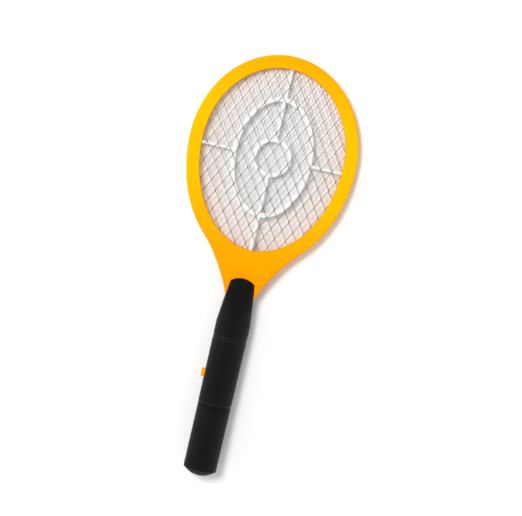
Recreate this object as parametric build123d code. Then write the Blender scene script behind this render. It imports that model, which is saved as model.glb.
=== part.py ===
from build123d import *
from math import asin, copysign, cos, degrees, hypot, pi, radians, sin
import os

# Electric fly swatter: a yellow racket head with three metal nets, on a round black battery handle.
# Millimetres. +Y runs along the racket to the tip of the head, +X to its right and +Z out of its front.
# The origin is the centre of the racket's box, and z = 0 is the plane in which all its shells part.

# Racket
racket_length = 429.9
tip_y = racket_length / 2

# Head: each outline is an upper and a lower half ellipse on one centre line
head_y = 118.1
head_half_width = 84.75
head_rise = tip_y - head_y
head_drop = 116.0
opening_half_width = 71.5
opening_rise = 83.7
opening_drop = 100.5
frame_depth = 6.0
frame_wall = 2.2
frame_edge_round = 2.6
opening_edge_round = 1.0

# Throat: where the head narrows to the neck, and the tang that the handle grips
throat_top_y = 24.1
throat_mid = (25.7, -7.9)
throat_end = (14.2, -31.9)
tang_half_width = 10.0
tang_half_depth = 5.0
tang_end_y = -60.6

# Nets and spacers, stacked from the middle outwards
clamp_width = 5.5
net_thickness = 0.5
spacer_thickness = 2.8
net_z = net_thickness / 2 + spacer_thickness
seat_z = net_z + net_thickness
mesh_short = 11.1
mesh_long = 18.9
mesh_strand = 1.0
mesh_knuckle = 0.9
front_net_turn = 3.0
rear_net_turn = 1.7
middle_net_turn = 2.4
net_tab_width = 7.0
net_tab_x = 9.0
net_tab_end_y = 5.4
oval_y = 112.6
oval_half_width = 40.3
oval_half_height = 60.8
oval_band = 4.4
hub_radius = 19.6
hub_band = 4.0
spoke_width = 3.2
side_spoke_width = 2.8

# Frame screws
frame_boss_radius = 2.4
frame_screw_angles = (18, 62, 118, 162, 205, 245, 295, 335)
frame_screw_line = 4.75
frame_screw_radius = 0.95
frame_screw_head_radius = 1.8
frame_screw_head_depth = 1.3

# Handle
shoulder_y = -57.0
shoulder_radius = 17.3
sleeve_corner_y = -207.6
sleeve_radius = 16.75
barrel_end_radius = 16.9
handle_wall = 2.0
neck_end_y = -15.4
neck_tip_y = -11.2
neck_half_width = 11.95
neck_sections = (
    (-58.0, 17.26, 17.26, 2.0),
    (-44.0, 15.95, 14.6, 2.4),
    (-31.9, 14.6, 12.1, 3.8),
    (-20.0, 13.1, 10.1, 4.8),
    (-9.0, neck_half_width, 9.3, 5.2),
)
section_points = 32
neck_bore_radius = 15.1
neck_bore_end = -36.6
neck_slot_half_depth = 6.1
groove_depth = 0.45
groove_half_width = 0.6
groove_floor_half_width = 0.28
groove_ys = (-140.7, -74.8, -72.0)
joint_y = -143.6
end_wall = 4.0
handle_boss_radius = 2.6
handle_screw_spots = ((-10.2, -134.2), (10.2, -134.2), (-8.4, -65.6), (8.4, -65.6), (0.0, -46.6))
handle_screw_radius = 1.1
handle_screw_head_radius = 2.0
handle_screw_seat_z = -8.6
neck_screw_seat_z = -7.6
handle_screw_top_z = 7.0

# Battery sleeve and carrier
sleeve_gap = 0.4
sleeve_bore = 15.18
sleeve_floor_y = -209.4
sleeve_dome_radius = 23.0
sleeve_corner_radius = 15.2
end_chamfer = 3.9
mouth_chamfer = 0.35
spigot_radius = 15.1
spigot_length = 8.3
tray_radius = 14.85
tray_top_z = -3.0
tray_end_wall = 2.0
tray_end_y = -209.0
plug_radius = 13.0
flange_radius = 14.7
flange_depth = 2.0
lead_x = 5.5
lead_hole = 1.2

# AA cells, side by side and head to tail
cell_x = 7.3
cell_radius = 7.15
cell_length = 49.2
cell_button_radius = 2.75
cell_button_length = 1.3
pocket_radius = 7.35
contact_thickness = 0.4
contact_reach = 4.0
contact_low_z = -2.8
contact_high_z = 5.0
spring_wire = 0.35
spring_turns = 3

# Push button on the left side, and the switch behind it
button_y = -112.2
button_length = 8.0
button_height = 7.0
button_proud = 3.4
button_round = 1.4
button_travel = 0.8
button_flange = 1.5
flange_face_x = -13.9
flange_back_x = -12.5
button_gap = 0.2
plunger_radius = 1.7
plunger_gap = 0.1
plunger_end_x = -8.95
switch_face_x = -9.6
switch_back_x = -6.1
switch_half = 3.1

# Circuit board
board_half_width = 11.0
board_start_y = -131.3
board_end_y = -69.6
board_thickness = 1.6
board_top_z = -switch_half
board_bottom_z = board_top_z - board_thickness
board_screw_ys = (-127.2, -73.1)
board_screw_radius = 0.9
board_screw_head_radius = 1.9
board_screw_head_height = 1.2
board_boss_radius = 2.6
transformer_at = (2.5, -93.6)
core_width = 13.0
core_depth = 5.0
core_height = 11.0
core_limb = 2.6
core_yoke = 2.0
bobbin_base = 1.0
capacitor_size = (13.0, 6.0, 10.0)
capacitor_y = -80.1
disc_xs = (-8.5, -5.7)
disc_y = -100.1
disc_radius = 4.2
disc_half_thickness = 1.1
diode_x = 5.6
diode_ys = (-106.6, -110.0, -113.4, -116.8)
diode_length = 4.2
diode_radius = 1.1
resistor_spots = ((0.0, -85.4), (-5.0, -107.0), (-5.0, -117.9))
resistor_length = 5.0
resistor_radius = 1.0
leg_radius = 0.3
leg_reach = 1.6
transistor_at = (5.5, -122.0)
transistor_radius = 2.4
transistor_lift = 1.6
transistor_height = 4.8
transistor_pitch = 1.27
lead_radius = 0.65
lead_bend = 4.0
board_lead_x = 4.9
battery_lead_ys = (-133.2, -126.7, -123.2)
head_lead_ys = (-75.6, -68.6, -56.6, -28.6, -8.6)

far = 60.0


def block(x0, x1, y0, y1, z0, z1):
    """A box between two corners."""
    centre = Pos((x0 + x1) / 2, (y0 + y1) / 2, (z0 + z1) / 2)
    return centre * Box(x1 - x0, y1 - y0, z1 - z0)


def post(x, y, z0, z1, radius):
    """A cylinder along Z."""
    return Pos(x, y, (z0 + z1) / 2) * Cylinder(radius, z1 - z0)


def rod_y(x, z, y0, y1, radius):
    """A cylinder along Y."""
    return Pos(x, (y0 + y1) / 2, z) * Rot(90, 0, 0) * Cylinder(radius, y1 - y0)


def rod_x(y, z, x0, x1, radius):
    """A cylinder along X."""
    return Pos((x0 + x1) / 2, y, z) * Rot(0, 90, 0) * Cylinder(radius, x1 - x0)


def front_half(body):
    """The part of a body in front of the parting plane."""
    return body & block(-far * 2, far * 2, -far * 4, far * 4, 0, far)


def rear_half(body):
    """The part of a body behind the parting plane."""
    return body & block(-far * 2, far * 2, -far * 4, far * 4, -far, 0)


def turned(points):
    """A solid of revolution about the racket's axis, from (radius, y) points."""
    return revolve(make_face(Polyline(*points, close=True)), Axis.Y)


def handle_radius(y):
    """The barrel's outer radius, which tapers a little towards the battery sleeve."""
    taper = (shoulder_radius - barrel_end_radius) / (shoulder_y - joint_y)
    return shoulder_radius - (shoulder_y - y) * taper


# ---- head ----

def egg(half_width, rise, drop):
    """The face inside an upper and a lower half ellipse."""
    centre = (0, head_y)
    upper = EllipticalCenterArc(centre, half_width, rise, 0, arc_size=180)
    lower = EllipticalCenterArc(centre, half_width, drop, 180, arc_size=180)
    return make_face(Curve() + [upper, lower])


def opening_egg(grow):
    """The opening's outline, moved outwards."""
    return egg(opening_half_width + grow, opening_rise + grow, opening_drop + grow)


def head_outline(inset):
    """The head's outline down to the neck, moved inwards."""
    half_width = head_half_width - inset
    drop = head_drop - inset
    sine = (throat_top_y - head_y) / head_drop
    cosine = (1 - sine * sine) ** 0.5
    low = (half_width * cosine, head_y + drop * sine)
    heading = (-half_width * -sine, -drop * cosine)
    side = 0.82 * inset
    lift = 0.57 * inset
    mid = (throat_mid[0] - side, throat_mid[1] + lift)
    end = (throat_end[0] - inset, throat_end[1])
    angle = degrees(asin(-sine))
    upper = EllipticalCenterArc((0, head_y), half_width, head_rise - inset, 0, arc_size=180)
    left_low = EllipticalCenterArc((0, head_y), half_width, drop, 180, arc_size=angle)
    right_low = mirror(left_low, Plane.YZ)
    right_throat = Spline(low, mid, end, tangents=(heading, (-0.35, -1.0)))
    left_throat = mirror(right_throat, Plane.YZ)
    base = Line((-end[0], end[1]), end)
    return make_face(Curve() + [upper, left_low, right_low, right_throat, left_throat, base])


def ellipse_spot(angle, line):
    """A point on the ring, a given way in from its outer edge."""
    drop = head_rise if sin(radians(angle)) > 0 else head_drop
    x = (head_half_width - line) * cos(radians(angle))
    y = head_y + (drop - line) * sin(radians(angle))
    return x, y


frame_screw_spots = [ellipse_spot(angle, frame_screw_line) for angle in frame_screw_angles]


def frame_half():
    """One half of the frame, lying on the parting plane: a plate with a wall round its edge."""
    body = extrude(head_outline(0), frame_depth)
    top_edges = body.faces().sort_by(Axis.Z)[-1].outer_wire().edges()
    rim = [edge for edge in top_edges if edge.center().Y > throat_end[1] + 0.1]
    body = fillet(rim, frame_edge_round)
    tang = block(-tang_half_width, tang_half_width, tang_end_y, throat_end[1], 0, tang_half_depth)
    body = body + tang
    opening = extrude(opening_egg(0), frame_depth)
    body = body - opening
    lip = body.faces().sort_by(Axis.Z)[-1].inner_wires()[0].edges()
    body = fillet(lip, opening_edge_round)
    body = body - extrude(head_outline(frame_wall), seat_z)
    channel_half = tang_half_width - frame_wall
    channel_top = tang_half_depth - frame_wall
    body = body - block(-channel_half, channel_half, tang_end_y, throat_end[1] + 1, 0, channel_top)
    for x, y in frame_screw_spots:
        body = body + post(x, y, 0, seat_z, frame_boss_radius)
    body = body + post(0, handle_screw_spots[4][1], 0, channel_top, handle_boss_radius)
    return body - post(0, handle_screw_spots[4][1], 0, frame_depth, handle_screw_radius + 0.15)


def front_frame():
    body = frame_half()
    for x, y in frame_screw_spots:
        body = body - post(x, y, 0, seat_z + 0.6, frame_screw_radius + 0.03)
    return body


def rear_frame():
    body = mirror(frame_half(), Plane.XY)
    for x, y in frame_screw_spots:
        body = body - post(x, y, -frame_depth, 0, frame_screw_radius + 0.1)
        recess = frame_depth - frame_screw_head_depth - 0.2
        body = body - post(x, y, -frame_depth, -recess, frame_screw_head_radius + 0.15)
    return body


def frame_screws():
    """Pan-head screws that close the frame from behind."""
    seat = -(frame_depth - frame_screw_head_depth - 0.2)
    screws = []
    for x, y in frame_screw_spots:
        head = post(x, y, seat - frame_screw_head_depth, seat, frame_screw_head_radius)
        head = fillet(head.edges().group_by(Axis.Z)[0], 0.5)
        shank = post(x, y, seat, seat_z, frame_screw_radius)
        slot = Pos(x, y, seat - frame_screw_head_depth) * (Box(2.2, 0.5, 1.2) + Box(0.5, 2.2, 1.2))
        screws.append(head + shank - slot)
    return screws


def mesh_cells(turn, shift):
    """The diamond holes of an expanded metal net, each cut short where its strands join."""
    reach = mesh_short * mesh_long / 2 / hypot(mesh_short, mesh_long)
    scale = 1 - mesh_strand / 2 / reach
    across = mesh_short / 2 * scale
    along = mesh_long / 2 * scale
    flat = across * mesh_knuckle / along
    hole = [(across, 0), (flat, along - mesh_knuckle), (-flat, along - mesh_knuckle)]
    hole = hole + [(-x, -y) for x, y in hole]
    edge = opening_half_width + clamp_width - 1.2
    edge_rise = opening_rise + clamp_width - 1.2
    edge_drop = opening_drop + clamp_width - 1.2
    ca = cos(radians(turn))
    sa = sin(radians(turn))
    cells = []
    for row in range(-13, 14):
        for column in range(-9, 10):
            cx = (column + (row % 2) / 2 + shift) * mesh_short
            cy = row * mesh_long / 2
            corners = [(cx + x, cy + y) for x, y in hole]
            corners = [(x * ca - y * sa, head_y - 8 + x * sa + y * ca) for x, y in corners]
            spans = [
                hypot(x / edge, (y - head_y) / (edge_rise if y > head_y else edge_drop))
                for x, y in corners
            ]
            if max(spans) < 1:
                cells.append(Wire(Polyline(*corners, close=True).edges()))
    return cells


def net(turn, shift, z, tab_x):
    """A flat net with its rim and its solder tab."""
    rim = opening_egg(clamp_width).face().outer_wire()
    sheet = extrude(Face(rim, mesh_cells(turn, shift)), net_thickness)
    rim_end = head_y - opening_drop - clamp_width + 1
    half = net_tab_width / 2
    tab = block(tab_x - half, tab_x + half, net_tab_end_y, rim_end, 0, net_thickness)
    return Pos(0, 0, z) * (sheet + tab)


def front_net():
    return net(front_net_turn, 0, net_z, -net_tab_x)


def rear_net():
    return net(rear_net_turn, 0, -net_z - net_thickness, -net_tab_x)


def high_voltage_net():
    return net(middle_net_turn, 0.5, -net_thickness / 2, net_tab_x)


def spacer():
    """The white insulator between two nets: a rim, an oval ring, a hub ring and spokes."""
    rim = opening_egg(clamp_width) - opening_egg(0.3)
    oval = Pos(0, oval_y) * (
        Ellipse(oval_half_width, oval_half_height)
        - Ellipse(oval_half_width - oval_band, oval_half_height - oval_band)
    )
    hub = Pos(0, oval_y) * (Circle(hub_radius) - Circle(hub_radius - hub_band))
    spoke_top = head_y + opening_rise + 1
    spoke_bottom = head_y - opening_drop - 1
    hub_mid = hub_radius - hub_band / 2
    oval_mid = oval_half_width - oval_band / 2
    top_length = spoke_top - oval_y - hub_mid
    bottom_length = oval_y - hub_mid - spoke_bottom
    side_length = opening_half_width + 1 - oval_mid
    spokes = Pos(0, spoke_top - top_length / 2) * Rectangle(spoke_width, top_length)
    spokes = spokes + Pos(0, spoke_bottom + bottom_length / 2) * Rectangle(spoke_width, bottom_length)
    for side in (-1, 1):
        centre = side * (oval_mid + side_length / 2)
        spokes = spokes + Pos(centre, oval_y) * Rectangle(side_length, side_spoke_width)
    return extrude(rim + oval + hub + spokes, spacer_thickness)


def front_spacer():
    return Pos(0, 0, net_thickness / 2) * spacer()


def rear_spacer():
    return mirror(front_spacer(), Plane.XY)


def net_link_strip():
    """The strip that joins the two outer nets' tabs round the edge of the spacers."""
    x0 = -net_tab_x - net_tab_width / 2 + 0.5
    x1 = -net_tab_x + net_tab_width / 2 - 0.5
    y0 = net_tab_end_y + 0.5
    wall = block(x0, x1, y0, y0 + 0.4, -net_z, net_z)
    foot = block(x0, x1, y0, y0 + 3.2, net_z - 0.4, net_z)
    return wall + foot + mirror(foot, Plane.XY)


# ---- handle ----

def neck_section(y, half_width, half_depth, fullness):
    """A cross-section of the neck: an ellipse at a fullness of 2, squarer above that."""
    points = []
    for step in range(section_points):
        angle = 2 * pi * step / section_points
        x = copysign(abs(cos(angle)) ** (2 / fullness), cos(angle)) * half_width
        z = copysign(abs(sin(angle)) ** (2 / fullness), sin(angle)) * half_depth
        points.append((x, y, z))
    return make_face(Spline(*points, periodic=True))


def neck_outside():
    """The neck, from the shoulder to the rounded ends of its two tongues."""
    body = loft([neck_section(*section) for section in neck_sections])
    rise = neck_tip_y - neck_end_y
    arc_radius = (neck_half_width ** 2 + rise ** 2) / 2 / rise
    end = post(0, neck_tip_y - arc_radius, -far, far, arc_radius)
    below = block(-far, far, -far, neck_end_y, -far, far)
    return body & (end + below)


def handle_outside():
    """The whole outside of the two handle shells, with its ring grooves."""
    profile = [
        (0, joint_y),
        (handle_radius(joint_y) - mouth_chamfer, joint_y),
        (handle_radius(joint_y), joint_y + mouth_chamfer),
    ]
    for y in groove_ys:
        floor = handle_radius(y) - groove_depth
        profile.append((handle_radius(y), y - groove_half_width))
        profile.append((floor, y - groove_floor_half_width))
        profile.append((floor, y + groove_floor_half_width))
        profile.append((handle_radius(y), y + groove_half_width))
    profile.append((shoulder_radius, shoulder_y))
    profile.append((0, shoulder_y))
    return turned(profile) + neck_outside()


def handle_inside():
    """The space inside the shells: the bore, the neck, the tang's seat and the throat's slot."""
    bore_start = joint_y + end_wall
    bore_end = tang_end_y - 0.3
    bore = turned([
        (0, bore_start),
        (handle_radius(bore_start) - handle_wall, bore_start),
        (handle_radius(bore_end) - handle_wall, bore_end),
        (0, bore_end),
    ])
    neck = loft([
        neck_section(bore_end - 0.6, neck_bore_radius, neck_bore_radius, 2.0),
        neck_section((bore_end + neck_bore_end) / 2, 13.4, 12.2, 2.1),
        neck_section(neck_bore_end, 10.6, 8.6, 2.3),
    ])
    seat_width = tang_half_width + 0.1
    seat = block(-seat_width, seat_width, bore_end, throat_end[1], -tang_half_depth - 0.1,
                 tang_half_depth + 0.1)
    slot = block(-far, far, throat_end[1] - 0.15, 0, -neck_slot_half_depth, neck_slot_half_depth)
    plug_hole = rod_y(0, 0, joint_y, bore_start, plug_radius + 0.05)
    return bore + neck + seat + slot + plug_hole


def handle_shell():
    """Both shells as one body, with the pads that hold the button in."""
    body = handle_outside() - handle_inside()
    half_length = button_length / 2 + button_gap
    half_height = button_height / 2 + button_gap
    pad = block(-16.4, flange_face_x - 0.1, button_y - 6.4, button_y + 6.4, -5.6, 5.6)
    body = body + pad
    return body - block(-far, -10, button_y - half_length, button_y + half_length,
                        -half_height, half_height)


def screw_posts(outside, z0, z1):
    """The bosses for the handle screws, ending at the handle's outside."""
    posts = [post(x, y, z0, z1, handle_boss_radius) for x, y in handle_screw_spots[:4]]
    x, y = handle_screw_spots[4]
    tall = tang_half_depth + 0.1
    posts.append(post(x, y, max(z0, tall) if z1 > 0 else z0, z1 if z1 > 0 else -tall,
                      handle_boss_radius))
    return [peg & outside for peg in posts]


def front_handle_shell():
    outside = handle_outside()
    body = front_half(handle_shell())
    for peg in screw_posts(outside, 0, far):
        body = body + peg
    for x, y in handle_screw_spots:
        body = body - post(x, y, -1, handle_screw_top_z + 0.5, handle_screw_radius + 0.03)
    return body


def rear_handle_shell():
    outside = handle_outside()
    body = rear_half(handle_shell())
    for peg in screw_posts(outside, -far, 0):
        body = body + peg
    for y in board_screw_ys:
        body = body + (post(0, y, -far, board_bottom_z, board_boss_radius) & outside)
        body = body - post(0, y, board_bottom_z - 5, board_bottom_z, board_screw_radius + 0.03)
    for x, y in handle_screw_spots:
        seat = screw_seat(x)
        body = body - post(x, y, -far, seat, handle_screw_head_radius + 0.2)
        body = body - post(x, y, seat, 1, handle_screw_radius + 0.1)
    return body


def screw_seat(x):
    """The height at which a handle screw's head seats."""
    return neck_screw_seat_z if x == 0 else handle_screw_seat_z


def handle_screws():
    """Self-tapping screws that close the handle from behind and pin the tang."""
    screws = []
    for x, y in handle_screw_spots:
        seat = screw_seat(x)
        head = post(x, y, seat - 1.6, seat, handle_screw_head_radius)
        head = fillet(head.edges().group_by(Axis.Z)[0], 0.6)
        shank = post(x, y, seat, handle_screw_top_z, handle_screw_radius)
        slot = Pos(x, y, seat - 1.6) * (Box(2.6, 0.6, 1.6) + Box(0.6, 2.6, 1.6))
        screws.append(head + shank - slot)
    return screws


# ---- battery end ----

def chamfered_rod(radius, y0, y1):
    """A rod on the racket's axis whose low end has a wide chamfer."""
    return turned([
        (0, y0),
        (radius - end_chamfer, y0),
        (radius, y0 + end_chamfer),
        (radius, y1),
        (0, y1),
    ])


def battery_sleeve():
    """The pull-off end of the handle: a straight tube with a domed end."""
    mouth_y = joint_y - sleeve_gap
    dome_y = sleeve_dome_radius - tip_y
    spread = asin(sleeve_corner_radius / sleeve_dome_radius)
    corner = (sleeve_corner_radius, dome_y - sleeve_dome_radius * cos(spread))
    slant = (-cos(spread), -sin(spread))
    profile = Curve() + [
        Line((0, mouth_y), (sleeve_radius - mouth_chamfer, mouth_y)),
        Line((sleeve_radius - mouth_chamfer, mouth_y), (sleeve_radius, mouth_y - mouth_chamfer)),
        Line((sleeve_radius, mouth_y - mouth_chamfer), (sleeve_radius, sleeve_corner_y)),
        Spline((sleeve_radius, sleeve_corner_y), corner, tangents=((0, -1), slant)),
        Spline(corner, (0, -tip_y), tangents=(slant, (-1, 0))),
        Line((0, -tip_y), (0, mouth_y)),
    ]
    body = revolve(make_face(profile), Axis.Y)
    return body - chamfered_rod(sleeve_bore, sleeve_floor_y, mouth_y)


def battery_carrier():
    """The tray that holds the cells, with the plug and flange that the shells clamp."""
    spigot_start = joint_y - 0.1
    spigot_end = spigot_start - spigot_length
    flange_start = joint_y + end_wall + 0.1
    body = rod_y(0, 0, spigot_end, spigot_start, spigot_radius)
    body = body + rod_y(0, 0, spigot_start, flange_start, plug_radius)
    body = body + rod_y(0, 0, flange_start, flange_start + flange_depth, flange_radius)
    tray = rod_y(0, 0, tray_end_y, spigot_end, tray_radius)
    tray = tray & block(-far, far, -far * 4, 0, -far, tray_top_z)
    for side in (-1, 1):
        tray = tray - rod_y(side * cell_x, 0, tray_end_y, spigot_end, pocket_radius)
    end_plate = rod_y(0, 0, tray_end_y, tray_end_y + tray_end_wall, tray_radius)
    body = body + ((tray + end_plate) & chamfered_rod(tray_radius, tray_end_y, spigot_end))
    for side in (-1, 1):
        body = body - rod_y(side * lead_x, 0, spigot_end, flange_start + flange_depth, lead_hole)
    return body


contact_top_y = joint_y - 0.1 - spigot_length
contact_end_y = tray_end_y + tray_end_wall


def battery_cell(side):
    """An AA cell; the left one's button points to the head and the right one's to the end."""
    if side < 0:
        tip = contact_top_y - contact_thickness
        body = rod_y(side * cell_x, 0, tip - cell_button_length - cell_length,
                     tip - cell_button_length, cell_radius)
        button = rod_y(side * cell_x, 0, tip - cell_button_length, tip, cell_button_radius)
    else:
        tip = contact_end_y + contact_thickness
        body = rod_y(side * cell_x, 0, tip + cell_button_length,
                     tip + cell_button_length + cell_length, cell_radius)
        button = rod_y(side * cell_x, 0, tip, tip + cell_button_length, cell_button_radius)
    body = fillet(body.edges(), 0.5)
    return body + button


def left_cell():
    return battery_cell(-1)


def right_cell():
    return battery_cell(1)


def positive_contact():
    """The flat plate that meets the left cell's button."""
    y = contact_top_y
    plate = block(-cell_x - contact_reach, -cell_x + contact_reach, y - contact_thickness, y,
                  contact_low_z, contact_high_z)
    return plate - rod_y(-lead_x, 0, y - 1, y, lead_radius + 0.05)


def negative_contact():
    """The flat plate under the right cell's spring."""
    y = contact_top_y
    plate = block(cell_x - contact_reach, cell_x + contact_reach, y - contact_thickness, y,
                  contact_low_z, contact_high_z)
    return plate - rod_y(lead_x, 0, y - 1, y, lead_radius + 0.05)


def bridge_contact():
    """The plate at the tray's end that joins the two cells in series."""
    y = contact_end_y
    reach = cell_x + contact_reach
    return block(-reach, reach, y, y + contact_thickness, contact_low_z, contact_high_z)


spring_length = (contact_top_y - contact_thickness) - (contact_end_y + contact_thickness)
spring_length = spring_length - cell_length - cell_button_length


def cell_spring(side):
    """A conical coil spring between a contact plate and a cell's flat end."""
    height = spring_length - 2 * spring_wire
    coil = Helix(pitch=height / spring_turns, height=height, radius=4.6, cone_angle=30)
    start = Plane(origin=coil @ 0, z_dir=coil % 0)
    wire = sweep(start * Circle(spring_wire), path=coil, is_frenet=True)
    if side < 0:
        return Pos(-cell_x, contact_end_y + contact_thickness + spring_wire, 0) * Rot(-90, 0, 0) * wire
    return Pos(cell_x, contact_top_y - contact_thickness - spring_wire, 0) * Rot(90, 0, 0) * wire


def bridge_spring():
    return cell_spring(-1)


def negative_spring():
    return cell_spring(1)


# ---- switch and button ----

def push_button():
    """The button: a rounded cap that passes through the shell, and the flange that keeps it in."""
    outer_x = -handle_radius(button_y) - button_proud
    cap = block(outer_x, flange_face_x, button_y - button_length / 2, button_y + button_length / 2,
                -button_height / 2, button_height / 2)
    cap = fillet(cap.edges().filter_by(Axis.X), button_round)
    cap = fillet(cap.faces().sort_by(Axis.X)[0].edges(), 0.9)
    half_length = button_length / 2 + button_flange
    half_height = button_height / 2 + 1.2
    flange = block(flange_face_x, flange_back_x, button_y - half_length, button_y + half_length,
                   -half_height, half_height)
    return cap + flange


def switch_body():
    """The momentary switch's housing, on the circuit board's edge."""
    body = block(switch_face_x, switch_back_x, button_y - switch_half, button_y + switch_half,
                 -switch_half, switch_half)
    body = fillet(body.edges().filter_by(Axis.X), 0.5)
    return body - rod_x(button_y, 0, switch_face_x, plunger_end_x + button_travel + 0.2,
                        plunger_radius + 0.08)


def switch_plunger():
    """The round plunger that the button pushes."""
    return rod_x(button_y, 0, flange_back_x + plunger_gap, plunger_end_x, plunger_radius)


# ---- circuit board ----

def circuit_board():
    body = block(-board_half_width, board_half_width, board_start_y, board_end_y, board_bottom_z,
                 board_top_z)
    body = fillet(body.edges().filter_by(Axis.Z), 1.5)
    for y in board_screw_ys:
        body = body - post(0, y, board_bottom_z, board_top_z, board_screw_radius + 0.2)
    return body


def board_screws():
    screws = []
    for y in board_screw_ys:
        head = post(0, y, board_top_z, board_top_z + board_screw_head_height, board_screw_head_radius)
        head = fillet(head.edges().group_by(Axis.Z)[-1], 0.5)
        shank = post(0, y, board_bottom_z - 4.5, board_top_z, board_screw_radius)
        slot = Pos(0, y, board_top_z + board_screw_head_height) * (
            Box(2.4, 0.5, 1.0) + Box(0.5, 2.4, 1.0)
        )
        screws.append(head + shank - slot)
    return screws


def transformer_core():
    """The ferrite core: a frame with a middle limb."""
    x, y = transformer_at
    z0 = board_top_z + bobbin_base
    frame = block(x - core_width / 2, x + core_width / 2, y - core_depth / 2, y + core_depth / 2,
                  z0, z0 + core_height)
    window = block(x - core_width / 2 + core_yoke, x + core_width / 2 - core_yoke,
                   y - core_depth / 2, y + core_depth / 2, z0 + core_yoke,
                   z0 + core_height - core_yoke)
    limb = block(x - core_limb / 2, x + core_limb / 2, y - core_depth / 2, y + core_depth / 2,
                 z0 + core_yoke, z0 + core_height - core_yoke)
    return frame - window + limb


def transformer_bobbin():
    """The bobbin: the base that stands on the board and the two flanges round the winding."""
    x, y = transformer_at
    z0 = board_top_z
    base = block(x - core_width / 2, x + core_width / 2, y - 6, y + 6, z0, z0 + bobbin_base)
    low = z0 + bobbin_base + core_yoke
    high = low + core_height - 2 * core_yoke
    half_x = core_width / 2 - core_yoke - 0.1
    sleeve = block(x - core_limb / 2 - 0.7, x + core_limb / 2 + 0.7, y - core_depth / 2 - 0.8,
                   y + core_depth / 2 + 0.8, low, high)
    lower = block(x - half_x, x + half_x, y - 6, y + 6, low, low + 0.7)
    upper = block(x - half_x, x + half_x, y - 6, y + 6, high - 0.7, high)
    cheeks = block(x - half_x, x + half_x, y + core_depth / 2 + 0.1, y + 6, z0 + bobbin_base, low)
    cheeks = cheeks + mirror(cheeks, Plane(origin=(x, y, 0), z_dir=(0, 1, 0)))
    body = base + sleeve + lower + upper + cheeks
    return body - block(x - core_limb / 2 - 0.05, x + core_limb / 2 + 0.05,
                        y - core_depth / 2 - 0.05, y + core_depth / 2 + 0.05, low, high)


def transformer_winding():
    """The wound wire, as one rounded block round the bobbin's sleeve."""
    x, y = transformer_at
    low = board_top_z + bobbin_base + core_yoke + 0.7
    high = low + core_height - 2 * core_yoke - 1.4
    half_x = core_width / 2 - core_yoke - 0.5
    coil = block(x - half_x, x + half_x, y - 5.6, y + 5.6, low, high)
    coil = fillet(coil.edges().filter_by(Axis.Z), 2.0)
    return coil - block(x - core_limb / 2 - 0.7, x + core_limb / 2 + 0.7, y - core_depth / 2 - 0.8,
                        y + core_depth / 2 + 0.8, low, high)


def storage_capacitor():
    """The film capacitor that holds the charge."""
    long, deep, tall = capacitor_size
    y = capacitor_y
    body = block(-long / 2, long / 2, y - deep / 2, y + deep / 2, board_top_z, board_top_z + tall)
    return fillet(body.edges().filter_by(Axis.Z) + body.edges().group_by(Axis.Z)[-1], 1.0)


def multiplier_capacitors():
    """Two disc capacitors that stand on the board."""
    discs = []
    for x in disc_xs:
        disc = rod_x(disc_y, board_top_z + disc_radius, x - disc_half_thickness,
                     x + disc_half_thickness, disc_radius)
        discs.append(fillet(disc.edges(), 0.8))
    return discs


def axial_part(x, y, length, radius):
    """A component with a wire at each end, lying along X on the board."""
    z = board_top_z + radius
    wire = leg_radius
    body = rod_x(y, z, x - length / 2, x + length / 2, radius)
    body = fillet(body.edges(), radius * 0.4)
    span = length / 2 + leg_reach
    wires = rod_x(y, z, x - span, x - length / 2, wire) + rod_x(y, z, x + length / 2, x + span, wire)
    feet = [post(x + side * (span - wire), y, board_top_z, z, wire * 0.8) for side in (-1, 1)]
    return body + wires + feet


def diodes():
    return [axial_part(diode_x, y, diode_length, diode_radius) for y in diode_ys]


def resistors():
    return [axial_part(x, y, resistor_length, resistor_radius) for x, y in resistor_spots]


def transistor():
    """The switching transistor in its D-shaped case, on three legs."""
    x, y = transistor_at
    low = board_top_z + transistor_lift
    case = post(x, y, low, low + transistor_height, transistor_radius)
    case = case & block(x - far, x + far, y - transistor_radius * 0.6, y + far, low, far)
    for step in (-1, 0, 1):
        case = case + post(x + step * transistor_pitch, y, board_top_z, low + 0.1, leg_radius)
    return case


# ---- leads ----

def lead(points, bend):
    """An insulated wire along straight runs and the arcs that join them."""
    route = FilletPolyline(*points, radius=bend)
    start = Plane(origin=route @ 0, z_dir=route % 0)
    return sweep(start * Circle(lead_radius), path=route)


def battery_lead(side):
    y0 = contact_top_y - contact_thickness
    z = board_top_z + lead_radius
    return lead([
        (side * lead_x, y0, 0),
        (side * lead_x, battery_lead_ys[0], 0),
        (side * board_lead_x, battery_lead_ys[1], z),
        (side * board_lead_x, battery_lead_ys[2], z),
    ], lead_bend)


def red_battery_lead():
    return battery_lead(-1)


def black_battery_lead():
    return battery_lead(1)


def head_lead(x, tab_x, tab_gap):
    z = board_top_z + lead_radius
    ys = head_lead_ys
    return lead([
        (x, ys[0], z),
        (x, ys[1], z),
        (x, ys[2], 0),
        (x, ys[3], 0),
        (tab_x, ys[4], 0),
        (tab_x, net_tab_end_y + tab_gap, 0),
    ], lead_bend)


def high_voltage_lead():
    return head_lead(board_lead_x, net_tab_x, -0.1)


def ground_lead():
    return head_lead(-board_lead_x, -net_tab_x, 0.4)


pieces = [
    front_frame, rear_frame, frame_screws,
    front_net, rear_net, high_voltage_net, front_spacer, rear_spacer, net_link_strip,
    front_handle_shell, rear_handle_shell, handle_screws,
    battery_sleeve, battery_carrier, left_cell, right_cell,
    positive_contact, negative_contact, bridge_contact, bridge_spring, negative_spring,
    push_button, switch_body, switch_plunger,
    circuit_board, board_screws, transformer_core, transformer_bobbin, transformer_winding,
    storage_capacitor, multiplier_capacitors, diodes, resistors, transistor,
    red_battery_lead, black_battery_lead, high_voltage_lead, ground_lead,
]

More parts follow.
